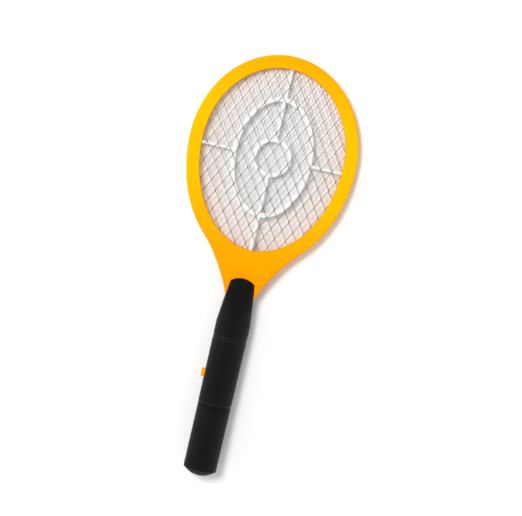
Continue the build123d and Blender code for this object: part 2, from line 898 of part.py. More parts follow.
os.makedirs("parts", exist_ok=True)
for piece in pieces:
    shape = piece()
    solids = []
    for item in shape if isinstance(shape, list) else [shape]:
        solids.extend(item.solids())
    whole = solids[0] if len(solids) == 1 else Compound(children=solids)
    whole.label = piece.__name__
    export_step(whole, f"parts/{piece.__name__}.step")
    print(piece.__name__, len(solids))
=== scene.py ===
import math

import bmesh
import bpy
from mathutils import Matrix, Vector


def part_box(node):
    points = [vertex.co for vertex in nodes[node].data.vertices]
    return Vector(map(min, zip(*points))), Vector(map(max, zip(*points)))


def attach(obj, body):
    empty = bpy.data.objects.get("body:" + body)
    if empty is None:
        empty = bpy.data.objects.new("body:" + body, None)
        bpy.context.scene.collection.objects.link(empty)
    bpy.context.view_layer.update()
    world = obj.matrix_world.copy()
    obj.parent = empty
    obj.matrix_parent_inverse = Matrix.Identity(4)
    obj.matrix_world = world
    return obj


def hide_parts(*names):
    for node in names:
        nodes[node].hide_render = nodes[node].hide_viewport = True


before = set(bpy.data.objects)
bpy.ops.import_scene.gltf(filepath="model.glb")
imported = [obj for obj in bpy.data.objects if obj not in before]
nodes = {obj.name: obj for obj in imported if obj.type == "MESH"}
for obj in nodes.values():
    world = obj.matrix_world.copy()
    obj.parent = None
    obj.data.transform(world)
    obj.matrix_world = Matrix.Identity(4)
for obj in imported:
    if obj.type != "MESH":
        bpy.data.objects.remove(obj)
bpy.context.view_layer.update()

mm = 0.001


# ---- camera, floor and light ----

view = {
    "aim": (12.2 * mm, 12.35 * mm, 0),     # the racket's point in the middle of the frame
    "standsOver": 120.0 * mm,             # how far towards the head the camera stands
    "distance": 1.9,
    "lean": 13.1,                         # degrees the racket leans to the right
    "fieldWidth": 0.522,
    "sensor": 36.0,
}

shoulderY = -57.0 * mm                   # where the handle touches the floor


def placeCamera():
    aim = Vector(view["aim"])
    eye = Vector((aim.x, view["standsOver"], view["distance"]))
    back = (eye - aim).normalized()
    lean = math.radians(view["lean"])
    right = Vector((math.cos(lean), math.sin(lean), 0))
    right = (right - back * right.dot(back)).normalized()
    up = back.cross(right)
    data = bpy.data.cameras.new("camera")
    data.sensor_width = view["sensor"]
    data.lens = view["sensor"] * (eye - aim).length / view["fieldWidth"]
    data.clip_end = 20
    camera = bpy.data.objects.new("camera", data)
    turn = Matrix((right, up, back)).transposed().to_4x4()
    camera.matrix_world = Matrix.Translation(eye) @ turn
    bpy.context.scene.collection.objects.link(camera)
    bpy.context.scene.camera = camera
    return right, up, back


def tableSlope():
    # the height and slope of the floor under the resting racket
    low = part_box("rear_handle_shell")[0].z
    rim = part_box("rear_frame")
    rise = rim[0].z - low
    run = rim[1].y - 3 * mm - shoulderY
    return low, math.atan2(rise, run)


def layFloor():
    # the racket rests on the handle's shoulder and on the tip of its rim
    low, slope = tableSlope()
    mesh = bpy.data.meshes.new("floor")
    floor = bpy.data.objects.new("floor", mesh)
    half = 4.0
    corners = []
    for x, y in ((-half, -half), (half, -half), (half, half), (-half, half)):
        corners.append((x, shoulderY + y * math.cos(slope), low - 0.0003 + y * math.sin(slope)))
    mesh.from_pydata(corners, [], [(0, 1, 2, 3)])
    bpy.context.scene.collection.objects.link(floor)
    material = bpy.data.materials.new("floorPaper")
    material.use_nodes = True
    shader = material.node_tree.nodes["Principled BSDF"]
    shader.inputs["Base Color"].default_value = (0.92, 0.92, 0.92, 1)
    shader.inputs["Roughness"].default_value = 0.9
    shader.inputs["Specular IOR Level"].default_value = 0.0
    mesh.materials.append(material)


lamps = {
    # name: position, size, watts, towards, seen in reflections
    "key": ((-0.57, 0.42, 2.0), 0.55, 29, (0.0, 0.05, 0.0), False),
    "left": ((-1.3, -0.1, 1.2), 0.3, 3.4, (0.0, -0.05, 0.0), True),
    "right": ((1.45, -0.1, 1.2), 0.3, 2.8, (0.0, -0.05, 0.0), True),
}
sky = {
    "overhead": 0.5,
    "horizon": 0.85,
    "bendLow": 0.1,                       # height of the direction where the horizon's white ends
    "bendHigh": 0.75,
}


def hangLamps():
    for name, (place, size, watts, towards, mirrored) in lamps.items():
        data = bpy.data.lights.new(name, "AREA")
        data.size = size
        data.energy = watts
        lamp = bpy.data.objects.new(name, data)
        lamp.visible_glossy = mirrored
        aim = (Vector(place) - Vector(towards)).to_track_quat("Z", "Y")
        lamp.matrix_world = Matrix.Translation(place) @ aim.to_matrix().to_4x4()
        bpy.context.scene.collection.objects.link(lamp)


def paintSky():
    # a studio that is white near the horizon and darker overhead
    world = bpy.data.worlds.new("studio")
    world.use_nodes = True
    tree = world.node_tree
    coords = tree.nodes.new("ShaderNodeTexCoord")
    split = tree.nodes.new("ShaderNodeSeparateXYZ")
    fade = tree.nodes.new("ShaderNodeMapRange")
    fade.inputs["From Min"].default_value = sky["bendLow"]
    fade.inputs["From Max"].default_value = sky["bendHigh"]
    fade.inputs["To Min"].default_value = sky["horizon"]
    fade.inputs["To Max"].default_value = sky["overhead"]
    background = tree.nodes["Background"]
    background.inputs["Color"].default_value = (1, 1, 1, 1)
    tree.links.new(coords.outputs["Generated"], split.inputs[0])
    tree.links.new(split.outputs["Z"], fade.inputs["Value"])
    tree.links.new(fade.outputs["Result"], background.inputs["Strength"])
    bpy.context.scene.world = world


bpy.context.scene.view_settings.view_transform = "Standard"
placeCamera()
layFloor()
hangLamps()
paintSky()
print("camera, floor and lamps are set")


# ---- materials ----

def newMaterial(name):
    material = bpy.data.materials.new(name)
    material.use_nodes = True
    tree = material.node_tree
    return material, tree, tree.nodes["Principled BSDF"]


def addNode(tree, kind, **values):
    node = tree.nodes.new(kind)
    for key, value in values.items():
        if hasattr(node, key):
            setattr(node, key, value)
        else:
            node.inputs[key.replace("_", " ")].default_value = value
    return node


def noise(tree, scale, detail=3.0, stretch=(1, 1, 1), roughness=0.5):
    # noise on object coordinates, scale in features per metre
    coords = tree.nodes.new("ShaderNodeTexCoord")
    mapping = addNode(tree, "ShaderNodeMapping")
    mapping.inputs["Scale"].default_value = stretch
    cloud = tree.nodes.new("ShaderNodeTexNoise")
    cloud.inputs["Scale"].default_value = scale
    cloud.inputs["Detail"].default_value = detail
    cloud.inputs["Roughness"].default_value = roughness
    tree.links.new(coords.outputs["Object"], mapping.inputs["Vector"])
    tree.links.new(mapping.outputs["Vector"], cloud.inputs["Vector"])
    return cloud.outputs["Fac"]


def ramp(tree, source, stops):
    node = tree.nodes.new("ShaderNodeValToRGB")
    node.color_ramp.elements[0].position = stops[0][0]
    node.color_ramp.elements[0].color = stops[0][1]
    node.color_ramp.elements[1].position = stops[-1][0]
    node.color_ramp.elements[1].color = stops[-1][1]
    for place, colour in stops[1:-1]:
        node.color_ramp.elements.new(place).color = colour
    tree.links.new(source, node.inputs["Fac"])
    return node.outputs["Color"]


def spread(tree, source, low, high, start=0.3, end=0.7):
    node = tree.nodes.new("ShaderNodeMapRange")
    node.inputs["From Min"].default_value = start
    node.inputs["From Max"].default_value = end
    node.inputs["To Min"].default_value = low
    node.inputs["To Max"].default_value = high
    tree.links.new(source, node.inputs["Value"])
    return node.outputs["Result"]


def bump(tree, shader, layers):
    # layers: (height source, distance in metres), joined in a chain
    previous = None
    for source, distance in layers:
        node = tree.nodes.new("ShaderNodeBump")
        node.inputs["Strength"].default_value = 1.0
        node.inputs["Distance"].default_value = distance
        tree.links.new(source, node.inputs["Height"])
        if previous:
            tree.links.new(previous, node.inputs["Normal"])
        previous = node.outputs["Normal"]
    tree.links.new(previous, shader.inputs["Normal"])


def shade(colour, factor):
    return (colour[0] * factor, colour[1] * factor, colour[2] * factor, 1)


def mouldedPlastic(name, colour, roughness, grainSize=0.4, grainDepth=0.004, mottle=0.05,
                   specular=0.5, bleed=0.0, coat=0.0):
    # injection-moulded plastic: faint mottling, fine grain, slow waviness and handling marks
    material, tree, shader = newMaterial(name)
    slow = noise(tree, 35, 2)
    patches = noise(tree, 160, 4)
    grain = noise(tree, 1 / (grainSize * mm), 2)
    rubbed = noise(tree, 420, 5, (1, 0.25, 1), 0.65)
    colourOut = ramp(tree, patches, [(0.3, shade(colour, 1 - mottle)), (0.7, shade(colour, 1 + mottle))])
    tree.links.new(colourOut, shader.inputs["Base Color"])
    tree.links.new(spread(tree, rubbed, roughness - 0.07, roughness + 0.09), shader.inputs["Roughness"])
    bump(tree, shader, [(slow, 0.00012), (grain, grainDepth * mm)])
    shader.inputs["Specular IOR Level"].default_value = specular
    shader.inputs["Coat Weight"].default_value = coat
    shader.inputs["Coat Roughness"].default_value = 0.2
    if bleed:
        shader.inputs["Subsurface Weight"].default_value = bleed
        shader.inputs["Subsurface Radius"].default_value = (0.006, 0.003, 0.0006)
        shader.inputs["Subsurface Scale"].default_value = 1.0
    return material


def metal(name, colour, roughness, brushed=(1, 1, 1), grainDepth=0.002, tarnish=0.12, scale=900):
    # plated or rolled metal with brushed streaks and dull spots
    material, tree, shader = newMaterial(name)
    streaks = noise(tree, scale, 4, brushed)
    dull = noise(tree, 260, 4)
    colourOut = ramp(tree, dull, [(0.3, shade(colour, 1 - tarnish)), (0.7, shade(colour, 1))])
    tree.links.new(colourOut, shader.inputs["Base Color"])
    tree.links.new(spread(tree, streaks, roughness - 0.08, roughness + 0.12), shader.inputs["Roughness"])
    bump(tree, shader, [(streaks, grainDepth * mm)])
    shader.inputs["Metallic"].default_value = 1.0
    return material


def paintedShadePlastic(name, base, shadeRamp, roughness, specular, bleed):
    # moulded plastic painted more orange towards the throat and the tip of the head, as painted shade along the
    # racket
    material = mouldedPlastic(name, base, roughness, mottle=0.015, specular=specular, bleed=bleed)
    tree = material.node_tree
    shader = tree.nodes["Principled BSDF"]
    plain = shader.inputs["Base Color"].links[0].from_socket
    stops = [(place, (1, tone, 1, 1)) for place, tone in shadeRamp["tones"]]
    tint = ramp(tree, along(tree, "Y", shadeRamp["low"], shadeRamp["high"]), stops)
    mix = tree.nodes.new("ShaderNodeMix")
    mix.data_type = "RGBA"
    mix.blend_type = "MULTIPLY"
    mix.inputs["Factor"].default_value = 1.0
    tree.links.new(plain, mix.inputs["A"])
    tree.links.new(tint, mix.inputs["B"])
    tree.links.new(mix.outputs["Result"], shader.inputs["Base Color"])
    return material


def paintedBounceMetal(name, colour, bounce, roughness):
    # net wire with a painted reflection: a warm tint close to the rim stands in for light bounced off the yellow
    # frame
    material = metal(name, colour, roughness)
    tree = material.node_tree
    shader = tree.nodes["Principled BSDF"]
    plain = shader.inputs["Base Color"].links[0].from_socket
    coords = tree.nodes.new("ShaderNodeTexCoord")
    mapping = addNode(tree, "ShaderNodeMapping")
    mapping.inputs["Location"].default_value = (0, -bounce["centreY"] / bounce["halfLength"], 0)
    mapping.inputs["Scale"].default_value = (1 / bounce["halfWidth"], 1 / bounce["halfLength"], 0)
    length = tree.nodes.new("ShaderNodeVectorMath")
    length.operation = "LENGTH"
    tree.links.new(coords.outputs["Object"], mapping.inputs["Vector"])
    tree.links.new(mapping.outputs["Vector"], length.inputs[0])
    near = spread(tree, length.outputs["Value"], 0.0, bounce["strength"], bounce["start"], 1.0)
    mix = tree.nodes.new("ShaderNodeMix")
    mix.data_type = "RGBA"
    mix.inputs["B"].default_value = bounce["tint"]
    tree.links.new(near, mix.inputs["Factor"])
    tree.links.new(plain, mix.inputs["A"])
    tree.links.new(mix.outputs["Result"], shader.inputs["Base Color"])
    return material


def along(tree, axis, low, high, repeat=False):
    # 0 to 1 between two places on one object axis
    coords = tree.nodes.new("ShaderNodeTexCoord")
    split = tree.nodes.new("ShaderNodeSeparateXYZ")
    place = tree.nodes.new("ShaderNodeMapRange")
    place.clamp = not repeat
    place.inputs["From Min"].default_value = low
    place.inputs["From Max"].default_value = high
    tree.links.new(coords.outputs["Object"], split.inputs[0])
    tree.links.new(split.outputs[axis], place.inputs["Value"])
    if not repeat:
        return place.outputs["Result"]
    wrap = tree.nodes.new("ShaderNodeMath")
    wrap.operation = "FRACT"
    tree.links.new(place.outputs["Result"], wrap.inputs[0])
    return wrap.outputs[0]


def banded(name, axis, low, high, bands, roughness, repeat=False, metallic=None):
    # a lacquered or printed surface with sharp bands along one axis
    material, tree, shader = newMaterial(name)
    place = along(tree, axis, low, high, repeat)
    stripes = ramp(tree, place, [(start, shade(colour, 1)) for start, colour in bands])
    stripes.node.color_ramp.interpolation = "CONSTANT"
    smudge = noise(tree, 300, 4)
    veil = ramp(tree, smudge, [(0.3, (0.8, 0.8, 0.8, 1)), (0.7, (1, 1, 1, 1))])
    mix = tree.nodes.new("ShaderNodeMix")
    mix.data_type = "RGBA"
    mix.blend_type = "MULTIPLY"
    mix.inputs["Factor"].default_value = 1.0
    tree.links.new(stripes, mix.inputs["A"])
    tree.links.new(veil, mix.inputs["B"])
    tree.links.new(mix.outputs["Result"], shader.inputs["Base Color"])
    tree.links.new(spread(tree, noise(tree, 700, 4), roughness - 0.06, roughness + 0.1),
                   shader.inputs["Roughness"])
    bump(tree, shader, [(noise(tree, 1500, 2), 0.000004)])
    if metallic:
        shine = ramp(tree, place, [(start, (value, value, value, 1)) for start, value in metallic])
        shine.node.color_ramp.interpolation = "CONSTANT"
        tree.links.new(shine, shader.inputs["Metallic"])
    return material


def cellJacket(name, node, nubHigh):
    # a foil jacket with one bright band at the positive end and bare steel at both ends
    low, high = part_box(node)
    steel, dark, bright = (0.62, 0.61, 0.58), (0.02, 0.07, 0.05), (0.66, 0.34, 0.12)
    bands = [(0.0, steel), (0.015, dark), (0.68, bright), (0.955, steel)]
    shine = [(0.0, 1.0), (0.015, 0.0), (0.68, 0.7), (0.955, 1.0)]
    ends = (low.y, high.y) if nubHigh else (high.y, low.y)
    return banded(name, "Y", ends[0], ends[1], bands, 0.3, metallic=shine)


def laminate(name):
    # paper laminate: tan, with fibres and resin blotches
    material, tree, shader = newMaterial(name)
    fibres = noise(tree, 900, 6, (0.2, 1, 1), 0.7)
    blotches = noise(tree, 120, 3)
    tan = ramp(tree, fibres, [(0.25, (0.25, 0.13, 0.035, 1)), (0.75, (0.42, 0.25, 0.08, 1))])
    tree.links.new(tan, shader.inputs["Base Color"])
    tree.links.new(spread(tree, blotches, 0.42, 0.66), shader.inputs["Roughness"])
    bump(tree, shader, [(fibres, 0.00001), (blotches, 0.00003)])
    return material


grooves = {
    "places": (-140.7 * mm, -74.8 * mm, -72.0 * mm),
    "halfWidth": 0.62 * mm,
    "polish": 0.26,
    # painted glint: a lighter grey in the grooves stands in for the lamps' reflection there
    "paintedGlint": (0.016, 0.016, 0.016, 1),
}


def handlePlastic(name, colour, roughness, specular):
    # satin plastic whose turned ring grooves are polished and given a lighter colour, a painted glint
    material = mouldedPlastic(name, colour, roughness, 0.35, 0.003, 0.15, specular=specular)
    tree = material.node_tree
    shader = tree.nodes["Principled BSDF"]
    satin = shader.inputs["Roughness"].links[0].from_socket
    colourOut = shader.inputs["Base Color"].links[0].from_socket
    coords = tree.nodes.new("ShaderNodeTexCoord")
    split = tree.nodes.new("ShaderNodeSeparateXYZ")
    tree.links.new(coords.outputs["Object"], split.inputs[0])
    for place in grooves["places"]:
        near = tree.nodes.new("ShaderNodeMath")
        near.operation = "COMPARE"
        near.inputs[1].default_value = place
        near.inputs[2].default_value = grooves["halfWidth"]
        tree.links.new(split.outputs["Y"], near.inputs[0])
        mix = tree.nodes.new("ShaderNodeMix")
        mix.inputs["B"].default_value = grooves["polish"]
        tree.links.new(near.outputs[0], mix.inputs["Factor"])
        tree.links.new(satin, mix.inputs["A"])
        satin = mix.outputs["Result"]
        # painted glint: the colour is lightened inside each groove
        glintTone = tree.nodes.new("ShaderNodeMix")
        glintTone.data_type = "RGBA"
        glintTone.inputs["B"].default_value = grooves["paintedGlint"]
        tree.links.new(near.outputs[0], glintTone.inputs["Factor"])
        tree.links.new(colourOut, glintTone.inputs["A"])
        colourOut = glintTone.outputs["Result"]
    tree.links.new(satin, shader.inputs["Roughness"])
    tree.links.new(colourOut, shader.inputs["Base Color"])
    return material


def insulation(name, colour):
    # soft sleeve of a lead: faint ripples along its run and dusty patches
    return mouldedPlastic(name, colour, 0.5, grainSize=0.9, grainDepth=0.012, mottle=0.12, specular=0.4)


# painted shade: the frame's yellow turns more orange towards the throat and towards the tip
yellowPaintedShade = {
    "low": -32 * mm,
    "high": 215 * mm,
    "tones": [(0.0, 0.62), (0.2, 0.74), (0.45, 0.97), (0.75, 1.0), (1.0, 0.79)],
}
# painted reflection: warm bounce light from the frame, painted on the inner nets near the rim
paintedRimBounce = {
    "centreY": 112 * mm,
    "halfWidth": 72 * mm,
    "halfLength": 93 * mm,
    "start": 0.5,
    "strength": 1.0,
    "tint": (1.0, 0.6, 0.42, 1),
}
finishes = {
    "frameYellow": paintedShadePlastic("frameYellow", (0.93, 0.45, 0.0002), yellowPaintedShade, 0.5, 0.03, 0.0),
    "buttonYellow": mouldedPlastic("buttonYellow", (0.94, 0.36, 0.0006), 0.45, mottle=0.03, specular=0.08),
    "handleBlack": handlePlastic("handleBlack", (0.0034, 0.0034, 0.0036), 0.55, 0.14),
    "carrierBlack": mouldedPlastic("carrierBlack", (0.018, 0.018, 0.02), 0.5),
    "spacerWhite": mouldedPlastic("spacerWhite", (0.74, 0.74, 0.725), 0.4, mottle=0.02, specular=0.2),
    # netWire and netWireInner are one metal: the inner nets' lighter grey is painted bounce light from the white
    # floor beneath them
    "netWire": metal("netWire", (0.22, 0.22, 0.22), 0.36),
    "netWireInner": paintedBounceMetal("netWireInner", (0.76, 0.76, 0.75), paintedRimBounce, 0.36),
    "screwSteel": metal("screwSteel", (0.62, 0.61, 0.58), 0.3),
    "contactNickel": metal("contactNickel", (0.74, 0.72, 0.66), 0.22, (1, 6, 1)),
    "leftJacket": cellJacket("leftJacket", "left_cell", True),
    "rightJacket": cellJacket("rightJacket", "right_cell", False),
    "boardTan": laminate("boardTan"),
    "ferrite": mouldedPlastic("ferrite", (0.035, 0.034, 0.035), 0.62, 0.5, 0.02, 0.2),
    "bobbinBlack": mouldedPlastic("bobbinBlack", (0.02, 0.02, 0.022), 0.48),
    "copperWire": metal("copperWire", (0.72, 0.3, 0.1), 0.28, (6, 1, 1), scale=1400),
    "capacitorRed": mouldedPlastic("capacitorRed", (0.34, 0.022, 0.012), 0.25, 1.6, 0.02, 0.12, coat=0.4),
    "capacitorBlue": mouldedPlastic("capacitorBlue", (0.012, 0.07, 0.32), 0.28, 1.2, 0.02, 0.12, coat=0.3),
    "diodeBlack": banded("diodeBlack", "X", 3.5 * mm, 7.7 * mm,
                         [(0.0, (0.02, 0.02, 0.021)), (0.72, (0.55, 0.55, 0.53)),
                          (0.86, (0.02, 0.02, 0.021))], 0.45),
    "resistorTan": banded("resistorTan", "X", -2.5 * mm, 2.5 * mm,
                          [(0.0, (0.45, 0.32, 0.17)), (0.2, (0.25, 0.07, 0.015)), (0.3, (0.45, 0.32, 0.17)),
                           (0.42, (0.01, 0.01, 0.01)), (0.52, (0.45, 0.32, 0.17)),
                           (0.64, (0.5, 0.13, 0.01)), (0.74, (0.45, 0.32, 0.17))], 0.4, repeat=True),
    "transistorBlack": mouldedPlastic("transistorBlack", (0.014, 0.014, 0.015), 0.55, 0.3, 0.01, 0.15),
    "switchBlack": mouldedPlastic("switchBlack", (0.016, 0.016, 0.018), 0.5),
    "leadRed": insulation("leadRed", (0.4, 0.012, 0.008)),
    "leadBlack": insulation("leadBlack", (0.012, 0.012, 0.012)),
    "leadWhite": insulation("leadWhite", (0.72, 0.72, 0.68)),
    "leadBlue": insulation("leadBlue", (0.01, 0.05, 0.3)),
}
for name in ("netWire", "netWireInner"):
    finishes[name].node_tree.nodes["Principled BSDF"].inputs["Metallic"].default_value = 0.6


# ---- geometry node helpers ----

def newNetTree(name, sockets):
    tree = bpy.data.node_groups.new(name, "GeometryNodeTree")
    tree.interface.new_socket("Geometry", in_out="INPUT", socket_type="NodeSocketGeometry")
    for label, kind, value in sockets:
        socket = tree.interface.new_socket(label, in_out="INPUT", socket_type=kind)
        if value is not None:
            socket.default_value = value
    tree.interface.new_socket("Geometry", in_out="OUTPUT", socket_type="NodeSocketGeometry")
    return tree


def maths(tree, operation, *values):
    node = tree.nodes.new("ShaderNodeMath")
    node.operation = operation
    for place, value in enumerate(values):
        if isinstance(value, (int, float)):
            node.inputs[place].default_value = value
        else:
            tree.links.new(value, node.inputs[place])
    return node.outputs[0]


def runTree(name, tree, values):
    # runs the tree on an empty mesh and keeps the result as a plain mesh
    holder = bpy.data.objects.new(name + "Maker", bpy.data.meshes.new(name + "Maker"))
    bpy.context.scene.collection.objects.link(holder)
    modifier = holder.modifiers.new("maker", "NODES")
    modifier.node_group = tree
    for item in tree.interface.items_tree:
        if item.in_out == "INPUT" and item.name in values:
            modifier[item.identifier] = values[item.name]
    bpy.context.view_layer.update()
    graph = bpy.context.evaluated_depsgraph_get()
    mesh = bpy.data.meshes.new_from_object(holder.evaluated_get(graph))
    mesh.name = name
    holder.modifiers.clear()
    bpy.data.objects.remove(holder)
    piece = bpy.data.objects.new(name, mesh)
    bpy.context.scene.collection.objects.link(piece)
    return piece


# ---- nets: expanded metal, made of wavy strands that meet at their knuckles ----

net = {
    "Cell Width": 11.1 * mm,
    "Cell Length": 18.9 * mm,
    "Strand Width": 0.52 * mm,
    "Strand Depth": 0.42 * mm,
    "Knuckle": 0.16,                      # share of a half cell that runs straight at a knuckle
    "Twist": 0.5,                         # radians that a strand turns between knuckles
    "Rim Half Width": 76.0 * mm,
    "Rim Rise": 89.0 * mm,
    "Rim Drop": 105.0 * mm,
    "Centre Y": 118.1 * mm,
    "Wobble": 0.12 * mm,
}
netLayers = {
    # name: CAD node, turn in degrees, shift in half cells, sideways slide, strand width, seed, finish
    "frontStrands": ("front_net", 3.0, 0.0, 0.0, 0.43 * mm, 3.0, "netWire"),
    "middleStrands": ("high_voltage_net", 2.4, 1.0, 1.1 * mm, 0.28 * mm, 11.0, "netWireInner"),
    "rearStrands": ("rear_net", 1.7, 0.0, 2.2 * mm, 0.34 * mm, 7.0, "netWireInner"),
}


def buildNetTree():
    sockets = [(label, "NodeSocketFloat", value) for label, value in net.items()]
    sockets += [
        ("Turn", "NodeSocketFloat", 0.0),
        ("Shift", "NodeSocketFloat", 0.0),
        ("Height", "NodeSocketFloat", 0.0),
        ("Slide", "NodeSocketFloat", 0.0),
        ("Seed", "NodeSocketFloat", 0.0),
        ("Strands", "NodeSocketInt", 32),
        ("Steps", "NodeSocketInt", 200),
        ("Material", "NodeSocketMaterial", None),
    ]
    tree = newNetTree("expandedMetal", sockets)
    link = tree.links.new
    given = tree.nodes.new("NodeGroupInput").outputs
    pitch = maths(tree, "MULTIPLY", given["Cell Width"], 0.5)
    reach = maths(tree, "MULTIPLY", given["Rim Drop"], 1.15)

    # one straight strand along Y, repeated across X
    strand = tree.nodes.new("GeometryNodeCurvePrimitiveLine")
    low = tree.nodes.new("ShaderNodeCombineXYZ")
    high = tree.nodes.new("ShaderNodeCombineXYZ")
    link(maths(tree, "MULTIPLY", reach, -1.0), low.inputs["Y"])
    link(reach, high.inputs["Y"])
    link(low.outputs[0], strand.inputs["Start"])
    link(high.outputs[0], strand.inputs["End"])
    fine = tree.nodes.new("GeometryNodeResampleCurve")
    link(strand.outputs["Curve"], fine.inputs["Curve"])
    link(given["Steps"], fine.inputs["Count"])
    row = tree.nodes.new("GeometryNodeMeshLine")
    link(given["Strands"], row.inputs["Count"])
    stride = tree.nodes.new("ShaderNodeCombineXYZ")
    link(pitch, stride.inputs["X"])
    link(stride.outputs[0], row.inputs["Offset"])
    first = tree.nodes.new("ShaderNodeCombineXYZ")
    half = maths(tree, "MULTIPLY", maths(tree, "SUBTRACT", given["Strands"], 1.0), -0.5)
    link(maths(tree, "MULTIPLY", half, pitch), first.inputs["X"])
    link(first.outputs[0], row.inputs["Start Location"])
    place = tree.nodes.new("GeometryNodeInstanceOnPoints")
    link(row.outputs["Mesh"], place.inputs["Points"])
    link(fine.outputs["Curve"], place.inputs["Instance"])
    real = tree.nodes.new("GeometryNodeRealizeInstances")
    link(place.outputs["Instances"], real.inputs["Geometry"])

    # each strand swings to its left neighbour and then to its right one
    position = tree.nodes.new("GeometryNodeInputPosition")
    split = tree.nodes.new("ShaderNodeSeparateXYZ")
    link(position.outputs[0], split.inputs[0])
    number = maths(tree, "ROUND", maths(tree, "SUBTRACT", maths(tree, "DIVIDE", split.outputs["X"], pitch), 0.5))
    odd = maths(tree, "MULTIPLY", maths(tree, "FLOORED_MODULO", number, 2.0), 0.5)
    along = maths(tree, "DIVIDE", split.outputs["Y"], given["Cell Length"])
    phase = maths(tree, "ADD", maths(tree, "ADD", along, odd), maths(tree, "MULTIPLY", given["Shift"], 0.5))
    wave = maths(tree, "PINGPONG", phase, 0.5)
    wave = maths(tree, "SUBTRACT", maths(tree, "MULTIPLY", wave, 4.0), 1.0)
    steep = maths(tree, "DIVIDE", 1.0, maths(tree, "SUBTRACT", 1.0, given["Knuckle"]))
    wave = maths(tree, "MULTIPLY", wave, steep)
    wave = maths(tree, "MAXIMUM", maths(tree, "MINIMUM", wave, 1.0), -1.0)
    swing = maths(tree, "SUBTRACT", maths(tree, "MULTIPLY", pitch, 0.5),
                  maths(tree, "MULTIPLY", given["Strand Width"], 0.5))
    shiftX = maths(tree, "MULTIPLY", wave, swing)

    # a little unevenness, as a stretched sheet has
    uneven = tree.nodes.new("ShaderNodeTexNoise")
    uneven.noise_dimensions = "4D"
    uneven.inputs["Scale"].default_value = 45.0
    link(given["Seed"], uneven.inputs["W"])
    link(position.outputs[0], uneven.inputs["Vector"])
    wobble = maths(tree, "MULTIPLY", maths(tree, "SUBTRACT", uneven.outputs["Fac"], 0.5), given["Wobble"])
    wobble = maths(tree, "MULTIPLY", wobble, 6.0)
    moved = tree.nodes.new("ShaderNodeCombineXYZ")
    link(maths(tree, "ADD", shiftX, wobble), moved.inputs["X"])
    weave = tree.nodes.new("GeometryNodeSetPosition")
    link(real.outputs["Geometry"], weave.inputs["Geometry"])
    link(moved.outputs[0], weave.inputs["Offset"])

    twist = tree.nodes.new("GeometryNodeSetCurveTilt")
    link(weave.outputs["Geometry"], twist.inputs["Curve"])
    link(maths(tree, "MULTIPLY", wave, given["Twist"]), twist.inputs["Tilt"])

    # turn it, bring it to the head and cut it to the rim
    turn = tree.nodes.new("GeometryNodeTransform")
    spin = tree.nodes.new("ShaderNodeCombineXYZ")
    link(given["Turn"], spin.inputs["Z"])
    link(twist.outputs["Curve"], turn.inputs["Geometry"])
    link(spin.outputs[0], turn.inputs["Rotation"])
    where = tree.nodes.new("ShaderNodeCombineXYZ")
    link(given["Slide"], where.inputs["X"])
    link(given["Centre Y"], where.inputs["Y"])
    link(given["Height"], where.inputs["Z"])
    link(where.outputs[0], turn.inputs["Translation"])
    position2 = tree.nodes.new("GeometryNodeInputPosition")
    split2 = tree.nodes.new("ShaderNodeSeparateXYZ")
    link(position2.outputs[0], split2.inputs[0])
    fromCentre = maths(tree, "SUBTRACT", split2.outputs["Y"], given["Centre Y"])
    above = maths(tree, "DIVIDE", maths(tree, "MAXIMUM", fromCentre, 0.0), given["Rim Rise"])
    below = maths(tree, "DIVIDE", maths(tree, "MINIMUM", fromCentre, 0.0), given["Rim Drop"])
    across = maths(tree, "DIVIDE", split2.outputs["X"], given["Rim Half Width"])
    lengthwise = maths(tree, "ADD", above, below)
    radius = maths(tree, "ADD", maths(tree, "MULTIPLY", across, across),
                   maths(tree, "MULTIPLY", lengthwise, lengthwise))
    cut = tree.nodes.new("GeometryNodeDeleteGeometry")
    cut.domain = "POINT"
    link(turn.outputs["Geometry"], cut.inputs["Geometry"])
    link(maths(tree, "GREATER_THAN", radius, 1.0), cut.inputs["Selection"])

    upright = tree.nodes.new("GeometryNodeSetCurveNormal")
    upright.mode = "Z_UP"
    link(cut.outputs["Geometry"], upright.inputs["Curve"])
    profile = tree.nodes.new("GeometryNodeCurvePrimitiveQuadrilateral")
    link(given["Strand Width"], profile.inputs["Width"])
    link(given["Strand Depth"], profile.inputs["Height"])
    body = tree.nodes.new("GeometryNodeCurveToMesh")
    body.inputs["Fill Caps"].default_value = True
    link(upright.outputs["Curve"], body.inputs["Curve"])
    link(profile.outputs["Curve"], body.inputs["Profile Curve"])
    solid = tree.nodes.new("GeometryNodeRealizeInstances")
    link(body.outputs["Mesh"], solid.inputs["Geometry"])
    paint = tree.nodes.new("GeometryNodeSetMaterial")
    link(solid.outputs["Geometry"], paint.inputs["Geometry"])
    link(given["Material"], paint.inputs["Material"])
    out = tree.nodes.new("NodeGroupOutput")
    link(paint.outputs["Geometry"], out.inputs["Geometry"])
    return tree


netTree = buildNetTree()
for name, (cadNode, turn, shift, slide, width, seed, finish) in netLayers.items():
    low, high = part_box(cadNode)
    values = dict(net)
    values["Turn"] = math.radians(turn)
    values["Shift"] = shift
    values["Slide"] = slide
    values["Strand Width"] = width
    values["Seed"] = seed
    values["Height"] = (low.z + high.z) / 2
    values["Strands"] = 34
    values["Steps"] = 208
    values["Material"] = finishes[finish]
    piece = runTree(name, netTree, values)
    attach(piece, "racket")
    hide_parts(cadNode)
    print(name, len(piece.data.polygons), "faces", piece.dimensions[:])
print("nets are woven")


# ---- transformer winding: layers of enamelled wire round the bobbin ----

coil = {
    "Wire": 0.3 * mm,
    "Turns": 17.0,
    "Steps": 900,
    "Corner": 0.5,
}


